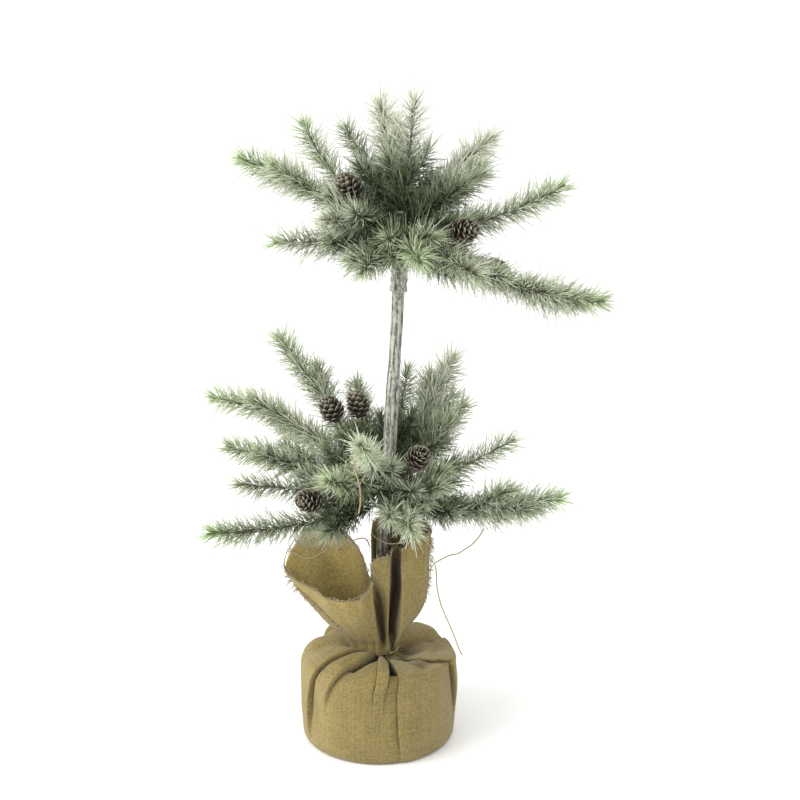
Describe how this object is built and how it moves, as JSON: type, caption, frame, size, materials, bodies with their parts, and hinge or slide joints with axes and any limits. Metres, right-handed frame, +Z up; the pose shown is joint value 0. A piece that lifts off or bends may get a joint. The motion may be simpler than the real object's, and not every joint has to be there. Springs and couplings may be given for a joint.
{
  "type": "artificial tabletop tree",
  "caption": "Two-tier frosted pine on a bark trunk, with bendable sprigs and cones, in a weighted pot wrapped in gathered burlap.",
  "frame": {"origin": "middle of the flat underside that the tree stands on, under the pot's centre", "axes": "+Z up, the front of the tree faces -Y, +X to the right seen from the front"},
  "size_m": [0.3532, 0.2294, 0.5981],
  "materials": {
    "pot_plastic": "satin",
    "cement": "matte",
    "steel_wire": "satin",
    "whitewashed_bark": "matte",
    "brown_tape": "matte",
    "burlap": "matte",
    "jute_yarn": "matte",
    "frosted_needles": "matte",
    "pine_cone": "matte"
  },
  "bodies": {
    "base": {"pot": "pot_plastic", "cement_fill": "cement", "trunk_rod": "steel_wire", "trunk_bark": "whitewashed_bark", "crown_socket": "whitewashed_bark", "tier_hub": "brown_tape", "burlap_wrap": "burlap", "neck_tie": "jute_yarn", "yarn_right_upper": "jute_yarn", "yarn_right_lower": "jute_yarn", "yarn_arch": "jute_yarn"},
    "crown": {"crown_stem": "steel_wire", "crown_hub": "brown_tape"},
    "tier_sprig_01": {"tier_sprig_01": "frosted_needles"},
    "tier_sprig_02": {"tier_sprig_02": "frosted_needles"},
    "tier_sprig_03": {"tier_sprig_03": "frosted_needles"},
    "tier_sprig_04": {"tier_sprig_04": "frosted_needles"},
    "tier_sprig_05": {"tier_sprig_05": "frosted_needles"},
    "tier_sprig_06": {"tier_sprig_06": "frosted_needles"},
    "tier_sprig_07": {"tier_sprig_07": "frosted_needles"},
    "tier_sprig_08": {"tier_sprig_08": "frosted_needles"},
    "tier_sprig_09": {"tier_sprig_09": "frosted_needles"},
    "tier_sprig_10": {"tier_sprig_10": "frosted_needles"},
    "tier_sprig_11": {"tier_sprig_11": "frosted_needles"},
    "tier_sprig_12": {"tier_sprig_12": "frosted_needles"},
    "tier_sprig_13": {"tier_sprig_13": "frosted_needles", "yarn_front": "jute_yarn"},
    "tier_sprig_14": {"tier_sprig_14": "frosted_needles"},
    "tier_sprig_15": {"tier_sprig_15": "frosted_needles"},
    "tier_sprig_16": {"tier_sprig_16": "frosted_needles"},
    "tier_cone_1": {"tier_cone_1": "pine_cone", "tier_cone_1_wire": "steel_wire"},
    "tier_cone_2": {"tier_cone_2": "pine_cone", "tier_cone_2_wire": "steel_wire"},
    "tier_cone_3": {"tier_cone_3": "pine_cone", "tier_cone_3_wire": "steel_wire"},
    "tier_cone_4": {"tier_cone_4": "pine_cone", "tier_cone_4_wire": "steel_wire"},
    "crown_sprig_01": {"crown_sprig_01": "frosted_needles"},
    "crown_sprig_02": {"crown_sprig_02": "frosted_needles"},
    "crown_sprig_03": {"crown_sprig_03": "frosted_needles"},
    "crown_sprig_04": {"crown_sprig_04": "frosted_needles"},
    "crown_sprig_05": {"crown_sprig_05": "frosted_needles"},
    "crown_sprig_06": {"crown_sprig_06": "frosted_needles"},
    "crown_sprig_07": {"crown_sprig_07": "frosted_needles"},
    "crown_sprig_08": {"crown_sprig_08": "frosted_needles"},
    "crown_sprig_09": {"crown_sprig_09": "frosted_needles"},
    "crown_sprig_10": {"crown_sprig_10": "frosted_needles"},
    "crown_sprig_11": {"crown_sprig_11": "frosted_needles"},
    "crown_sprig_12": {"crown_sprig_12": "frosted_needles"},
    "crown_sprig_13": {"crown_sprig_13": "frosted_needles"},
    "crown_sprig_14": {"crown_sprig_14": "frosted_needles"},
    "crown_sprig_15": {"crown_sprig_15": "frosted_needles"},
    "crown_cone_1": {"crown_cone_1": "pine_cone", "crown_cone_1_wire": "steel_wire"},
    "crown_cone_2": {"crown_cone_2": "pine_cone", "crown_cone_2_wire": "steel_wire"},
    "crown_cone_3": {"crown_cone_3": "pine_cone", "crown_cone_3_wire": "steel_wire"}
  },
  "joints": [
    {"name": "crown_lift", "type": "slide", "parent": "base", "child": "crown", "axis": [0.0558, 0, 0.9984], "range_m": [0, 0.03]},
    {"name": "tier_sprig_01_bend", "type": "hinge", "parent": "base", "child": "tier_sprig_01", "pos_m": [-0.00206, 0.00072, 0.23795], "axis": [0.0698, 0.9976, 0], "range_deg": [-15, 15]},
    {"name": "tier_sprig_02_bend", "type": "hinge", "parent": "base", "child": "tier_sprig_02", "pos_m": [-0.00121, 0.00389, 0.2401], "axis": [0.3746, 0.9272, 0], "range_deg": [-15, 15]},
    {"name": "tier_sprig_03_bend", "type": "hinge", "parent": "base", "child": "tier_sprig_03", "pos_m": [0.00116, 0.00695, 0.24827], "axis": [0.6691, 0.7431, 0], "range_deg": [-15, 8]},
    {"name": "tier_sprig_04_bend", "type": "hinge", "parent": "base", "child": "tier_sprig_04", "pos_m": [0.00533, 0.00976, 0.24827], "axis": [0.9397, 0.342, 0], "range_deg": [-15, 15]},
    {"name": "tier_sprig_05_bend", "type": "hinge", "parent": "base", "child": "tier_sprig_05", "pos_m": [0.00757, 0.01038, 0.23451], "axis": [0.9986, 0.0523, 0], "range_deg": [-15, 15]},
    {"name": "tier_sprig_06_bend", "type": "hinge", "parent": "base", "child": "tier_sprig_06", "pos_m": [0.01274, 0.00983, 0.25688], "axis": [0.9455, -0.3256, 0], "range_deg": [-15, 15]},
    {"name": "tier_sprig_07_bend", "type": "hinge", "parent": "base", "child": "tier_sprig_07", "pos_m": [0.01573, 0.00796, 0.25128], "axis": [0.766, -0.6428, 0], "range_deg": [-15, 15]},
    {"name": "tier_sprig_08_bend", "type": "hinge", "parent": "base", "child": "tier_sprig_08", "pos_m": [0.01827, 0.00456, 0.24913], "axis": [0.4384, -0.8988, 0], "range_deg": [-15, 15]},
    {"name": "tier_sprig_09_bend", "type": "hinge", "parent": "base", "child": "tier_sprig_09", "pos_m": [0.01884, 0.00072, 0.24096], "axis": [0.0698, -0.9976, 0], "range_deg": [-15, 15]},
    {"name": "tier_sprig_10_bend", "type": "hinge", "parent": "base", "child": "tier_sprig_10", "pos_m": [0.01795, -0.00321, 0.23365], "axis": [-0.309, -0.9511, 0], "range_deg": [-15, 15]},
    {"name": "tier_sprig_11_bend", "type": "hinge", "parent": "base", "child": "tier_sprig_11", "pos_m": [0.01535, -0.00772, 0.23967], "axis": [-0.7431, -0.6691, 0], "range_deg": [-15, 15]},
    {"name": "tier_sprig_12_bend", "type": "hinge", "parent": "base", "child": "tier_sprig_12", "pos_m": [0.01078, -0.00999, 0.23107], "axis": [-0.9613, -0.2756, 0], "range_deg": [-15, 15]},
    {"name": "tier_sprig_13_bend", "type": "hinge", "parent": "base", "child": "tier_sprig_13", "pos_m": [0.00662, -0.01017, 0.24655], "axis": [-0.9781, 0.2079, 0], "range_deg": [-15, 15]},
    {"name": "tier_sprig_14_bend", "type": "hinge", "parent": "base", "child": "tier_sprig_14", "pos_m": [0.00207, -0.00819, 0.24096], "axis": [-0.788, 0.6157, 0], "range_deg": [-15, 15]},
    {"name": "tier_sprig_15_bend", "type": "hinge", "parent": "base", "child": "tier_sprig_15", "pos_m": [-0.00128, -0.00488, 0.23064], "axis": [-0.4695, 0.8829, 0], "range_deg": [-15, 15]},
    {"name": "tier_sprig_16_bend", "type": "hinge", "parent": "base", "child": "tier_sprig_16", "pos_m": [-0.00203, -0.00216, 0.23494], "axis": [-0.2079, 0.9781, 0], "range_deg": [-15, 15]},
    {"name": "tier_cone_1_bend", "type": "hinge", "parent": "base", "child": "tier_cone_1", "pos_m": [-0.00105, -0.00145, 0.25472], "axis": [-0.1392, 0.9903, 0], "range_deg": [-8, 8]},
    {"name": "tier_cone_2_bend", "type": "hinge", "parent": "base", "child": "tier_cone_2", "pos_m": [0.00094, 0.00596, 0.2586], "axis": [0.5736, 0.8191, 0], "range_deg": [-8, 8]},
    {"name": "tier_cone_3_bend", "type": "hinge", "parent": "base", "child": "tier_cone_3", "pos_m": [0.01369, -0.00918, 0.24698], "axis": [-0.8829, -0.4695, 0], "range_deg": [-8, 8]},
    {"name": "tier_cone_4_bend", "type": "hinge", "parent": "base", "child": "tier_cone_4", "pos_m": [0.0002, -0.00682, 0.23322], "axis": [-0.6561, 0.7547, 0], "range_deg": [-8, 8]},
    {"name": "crown_sprig_01_bend", "type": "hinge", "parent": "crown", "child": "crown_sprig_01", "pos_m": [0.0115, 0.00124, 0.48507], "axis": [0.1392, 0.9903, 0], "range_deg": [-15, 15]},
    {"name": "crown_sprig_02_bend", "type": "hinge", "parent": "crown", "child": "crown_sprig_02", "pos_m": [0.01303, 0.00472, 0.48967], "axis": [0.5299, 0.848, 0], "range_deg": [-15, 15]},
    {"name": "crown_sprig_03_bend", "type": "hinge", "parent": "crown", "child": "crown_sprig_03", "pos_m": [0.01528, 0.00711, 0.49075], "axis": [0.7986, 0.6018, 0], "range_deg": [-15, 15]},
    {"name": "crown_sprig_04_bend", "type": "hinge", "parent": "crown", "child": "crown_sprig_04", "pos_m": [0.01884, 0.00871, 0.49183], "axis": [0.9781, 0.2079, 0], "range_deg": [-15, 15]},
    {"name": "crown_sprig_05_bend", "type": "hinge", "parent": "crown", "child": "crown_sprig_05", "pos_m": [0.0209, 0.00887, 0.48156], "axis": [0.9962, -0.0872, 0], "range_deg": [-15, 15]},
    {"name": "crown_sprig_06_bend", "type": "hinge", "parent": "crown", "child": "crown_sprig_06", "pos_m": [0.0241, 0.00836, 0.49832], "axis": [0.9397, -0.342, 0], "range_deg": [-15, 15]},
    {"name": "crown_sprig_07_bend", "type": "hinge", "parent": "crown", "child": "crown_sprig_07", "pos_m": [0.02808, 0.00472, 0.48886], "axis": [0.5299, -0.848, 0], "range_deg": [-15, 15]},
    {"name": "crown_sprig_08_bend", "type": "hinge", "parent": "crown", "child": "crown_sprig_08", "pos_m": [0.02923, 0.00154, 0.48778], "axis": [0.1736, -0.9848, 0], "range_deg": [-15, 15]},
    {"name": "crown_sprig_09_bend", "type": "hinge", "parent": "crown", "child": "crown_sprig_09", "pos_m": [0.02904, -0.00124, 0.48345], "axis": [-0.1392, -0.9903, 0], "range_deg": [-15, 15]},
    {"name": "crown_sprig_10_bend", "type": "hinge", "parent": "crown", "child": "crown_sprig_10", "pos_m": [0.0279, -0.00362, 0.47534], "axis": [-0.4067, -0.9135, 0], "range_deg": [-15, 15]},
    {"name": "crown_sprig_11_bend", "type": "hinge", "parent": "crown", "child": "crown_sprig_11", "pos_m": [0.02495, -0.00729, 0.47669], "axis": [-0.8191, -0.5736, 0], "range_deg": [-15, 15]},
    {"name": "crown_sprig_12_bend", "type": "hinge", "parent": "crown", "child": "crown_sprig_12", "pos_m": [0.02148, -0.00877, 0.47831], "axis": [-0.9848, -0.1736, 0], "range_deg": [-15, 15]},
    {"name": "crown_sprig_13_bend", "type": "hinge", "parent": "crown", "child": "crown_sprig_13", "pos_m": [0.01648, -0.00825, 0.47615], "axis": [-0.9272, 0.3746, 0], "range_deg": [-15, 15]},
    {"name": "crown_sprig_14_bend", "type": "hinge", "parent": "crown", "child": "crown_sprig_14", "pos_m": [0.01318, -0.00548, 0.48291], "axis": [-0.6157, 0.788, 0], "range_deg": [-15, 15]},
    {"name": "crown_sprig_15_bend", "type": "hinge", "parent": "crown", "child": "crown_sprig_15", "pos_m": [0.01137, -0.0023, 0.47885], "axis": [-0.2588, 0.9659, 0], "range_deg": [-15, 15]},
    {"name": "crown_cone_1_bend", "type": "hinge", "parent": "crown", "child": "crown_cone_1", "pos_m": [0.01238, -0.00348, 0.48967], "axis": [-0.3907, 0.9205, 0], "range_deg": [-8, 8]},
    {"name": "crown_cone_2_bend", "type": "hinge", "parent": "crown", "child": "crown_cone_2", "pos_m": [0.02698, -0.0056, 0.48047], "axis": [-0.6293, -0.7771, 0], "range_deg": [-8, 8]},
    {"name": "crown_cone_3_bend", "type": "hinge", "parent": "crown", "child": "crown_cone_3", "pos_m": [0.02846, -0.00093, 0.47236], "axis": [-0.1045, -0.9945, 0], "range_deg": [-8, 8]}
  ]
}
